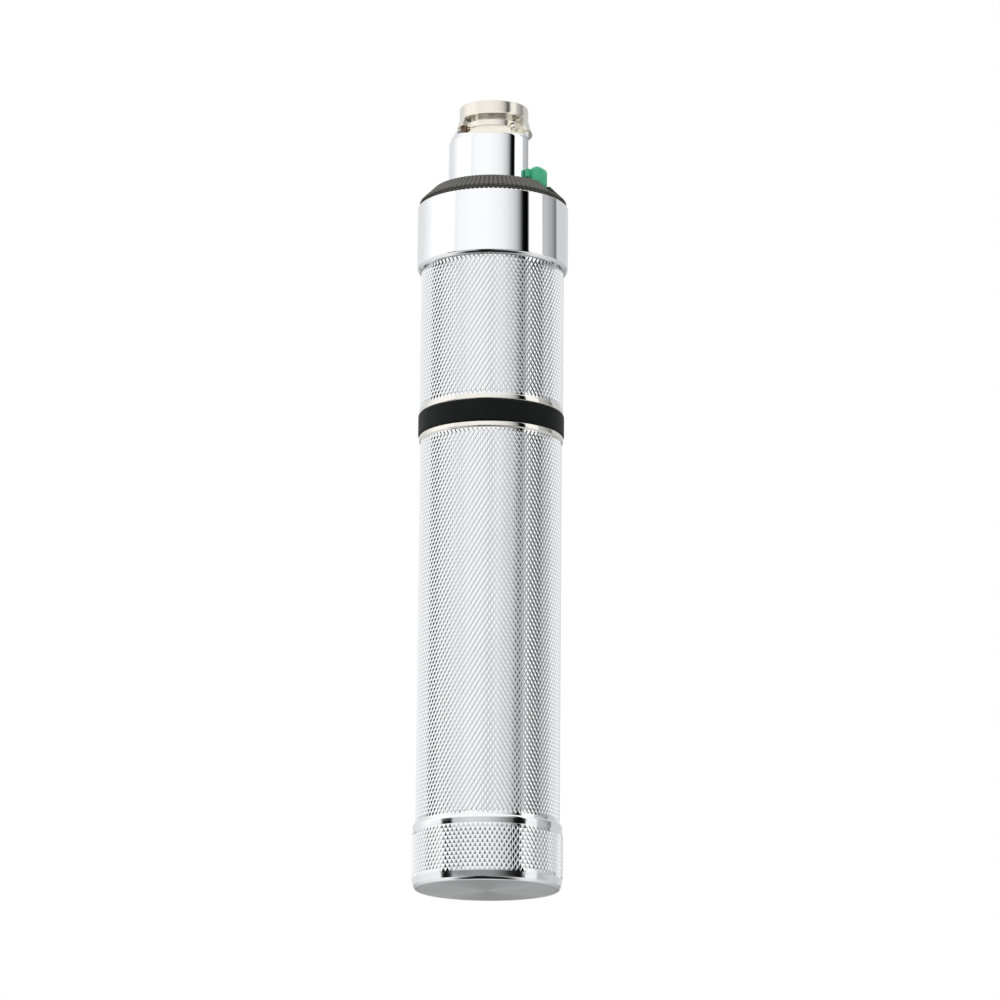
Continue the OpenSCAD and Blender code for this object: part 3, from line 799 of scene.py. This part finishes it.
def studio():
    """A white backdrop, and round the handle a grey one by azimuth, mixed by height."""
    world = bpy.data.worlds.new("studio")
    bpy.context.scene.world = world
    world.use_nodes = True
    nodes, links = world.node_tree.nodes, world.node_tree.links
    nodes.clear()
    place = nodes.new("ShaderNodeTexCoord")
    parts = nodes.new("ShaderNodeSeparateXYZ")
    links.new(place.outputs["Generated"], parts.inputs[0])

    def math_node(operation, a, b=None):
        """One sum on outputs or numbers."""
        node = nodes.new("ShaderNodeMath")
        node.operation = operation
        for socket, value in zip(node.inputs, (a, b)):
            if value is None:
                continue
            if isinstance(value, (int, float)):
                socket.default_value = value
            else:
                links.new(value, socket)
        return node.outputs[0]

    # Azimuth from the front towards +X, as 0..1 over -180..180 degrees
    azimuth = math_node("ARCTAN2", parts.outputs["X"], math_node("MULTIPLY", parts.outputs["Y"], -1))
    turn = math_node("ADD", math_node("DIVIDE", azimuth, TAU), 0.5)
    degrees = math_node("MULTIPLY", math_node("ARCSINE", parts.outputs["Z"]), 180 / math.pi)

    def ramp(stops, tint):
        """A grey value by azimuth, tinted where it is neither black nor white."""
        node = nodes.new("ShaderNodeValToRGB")
        elements = node.color_ramp.elements
        elements.remove(elements[1])
        for k, (deg, value) in enumerate(stops):
            element = elements[0] if k == 0 else elements.new((deg + 180) / 360)
            element.position = (deg + 180) / 360
            share = 4 * value * (1 - value)
            element.color = [value * (1 + share * t) for t in tint] + [1]
        links.new(turn, node.inputs["Fac"])
        return node.outputs["Color"]

    side = ramp([
        (-180, 0.70), (-132, 0.75), (-114, 0.89), (-104, 1.0), (-63, 1.0), (-59, 0.86), (-52, 0.91),
        (-30, 0.95), (-8, 0.94), (10, 0.88), (20, 0.80), (30, 0.66), (36, 0.52), (41, 0.30), (45, 0.05),
        (47, 0.002), (55.5, 0.002), (57.5, 1.0), (80, 1.0), (83, 0.46), (89, 0.52), (95, 0.42),
        (103, 0.35), (109, 0.20), (113, 0.20), (116, 0.60), (140, 0.60), (180, 0.68),
    ], (-0.02, 0.0, 0.02))
    near_floor = ramp([
        (-180, 0.25), (-150, 0.50), (-120, 0.80), (-77, 0.85), (-73, 0.004), (-58, 0.004), (-54, 0.55),
        (-25, 0.66), (0, 0.60), (12, 0.48), (26, 0.30), (38, 0.12), (42, 0.004), (60, 0.004), (62, 0.90),
        (80, 0.85), (86, 0.45), (115, 0.60), (150, 0.42), (180, 0.25),
    ], (-0.02, 0.0, 0.0))
    mid_floor = ramp([
        (-180, 0.30), (-120, 0.75), (-74, 0.85), (-70, 0.004), (-65, 0.004), (-58, 0.17), (-20, 0.27),
        (8, 0.24), (22, 0.14), (34, 0.02), (55, 0.004), (58, 0.75), (84, 0.60), (110, 0.60), (150, 0.42),
        (180, 0.30),
    ], (-0.02, 0.0, 0.01))
    front_floor = ramp([
        (-180, 0.30), (-120, 0.75), (-80, 0.85), (-50, 0.65), (-30, 0.50), (-23, 0.02), (-17, 0.004),
        (-4, 0.004), (4, 0.25), (30, 0.50), (64, 0.75), (84, 0.80), (110, 0.60), (180, 0.30),
    ], (-0.02, 0.0, 0.01))
    under = ramp([
        (-180, 0.90), (-120, 0.90), (-80, 0.40), (-62, 0.01), (57, 0.01), (75, 0.40), (120, 0.90),
        (180, 0.90),
    ], (0.0, 0.0, 0.0))

    def band(value, edge0, edge1):
        """0 below the first edge and 1 above the second, eased between them."""
        node = nodes.new("ShaderNodeMapRange")
        node.interpolation_type = "SMOOTHSTEP"
        node.inputs["From Min"].default_value = edge0
        node.inputs["From Max"].default_value = edge1
        links.new(value, node.inputs["Value"])
        return node.outputs["Result"]

    def mix(factor, a, b):
        """A colour between a and b, either of which may be an output or a colour."""
        node = nodes.new("ShaderNodeMix")
        node.data_type = "RGBA"
        links.new(factor, node.inputs["Factor"])
        for name, value in (("A", a), ("B", b)):
            if isinstance(value, tuple):
                node.inputs[name].default_value = (*value, 1)
            else:
                links.new(value, node.inputs[name])
        return node.outputs["Result"]

    # From straight down to straight up, by degrees above the horizon
    surroundings = mix(band(degrees, -58, -46), under, front_floor)
    surroundings = mix(band(degrees, -24, -19), surroundings, mid_floor)
    surroundings = mix(band(degrees, -14, -10), surroundings, near_floor)
    surroundings = mix(band(degrees, -4, 1), surroundings, side)
    surroundings = mix(band(degrees, 35, 55), surroundings, (0.97, 0.97, 0.97))
    lit = nodes.new("ShaderNodeBackground")
    lit.inputs["Strength"].default_value = 1.08
    links.new(surroundings, lit.inputs["Color"])
    backdrop = nodes.new("ShaderNodeBackground")
    backdrop.inputs["Color"].default_value = (1, 1, 1, 1)
    path = nodes.new("ShaderNodeLightPath")
    choose = nodes.new("ShaderNodeMixShader")
    links.new(path.outputs["Is Camera Ray"], choose.inputs["Fac"])
    links.new(lit.outputs[0], choose.inputs[1])
    links.new(backdrop.outputs[0], choose.inputs[2])
    output = nodes.new("ShaderNodeOutputWorld")
    links.new(choose.outputs[0], output.inputs["Surface"])


def floor():
    """A pale floor under the cap. The main view looks up from below it, so its underside is clear."""
    half = 3.0
    z = cad_box[0].z - 0.05 * MM
    corners = [(-half, -half, z), (half, -half, z), (half, half, z), (-half, half, z)]
    obj = add_object("studio_floor", corners, [(0, 1, 2, 3)])
    mat, nodes, links, shader = material("studio_floor", (0.86, 0.86, 0.86), 0.0, 0.7)
    shader.inputs["Specular IOR Level"].default_value = 0.2
    clear = nodes.new("ShaderNodeBsdfTransparent")
    side = nodes.new("ShaderNodeNewGeometry")
    choose = nodes.new("ShaderNodeMixShader")
    links.new(side.outputs["Backfacing"], choose.inputs["Fac"])
    links.new(shader.outputs[0], choose.inputs[1])
    links.new(clear.outputs[0], choose.inputs[2])
    links.new(choose.outputs[0], nodes["Material Output"].inputs["Surface"])
    obj.data.materials.append(mat)
    obj.visible_diffuse = False
    obj.visible_glossy = False
    obj.visible_transmission = False
    obj.visible_shadow = False


def camera():
    """Looks up at the handle from the front, from below its base."""
    distance = 880 * MM
    height = cad_box[0].z - 130.7 * MM
    pitch, roll_deg = math.radians(13.45), 0.5
    aim = Vector((1.93 * MM, 0, height + distance * math.tan(pitch)))
    data = bpy.data.cameras.new("camera")
    data.sensor_width = 36
    data.lens = 160.7
    data.clip_start, data.clip_end = 0.01, 20
    obj = bpy.data.objects.new("camera", data)
    bpy.context.scene.collection.objects.link(obj)
    obj.location = (0, -distance, height)
    roll = Euler((0, 0, math.radians(roll_deg))).to_quaternion()
    obj.rotation_mode = "QUATERNION"
    obj.rotation_quaternion = (aim - obj.location).to_track_quat("-Z", "Y") @ roll
    bpy.context.scene.camera = obj


studio()
floor()
camera()
bpy.context.scene.view_settings.view_transform = "Standard"
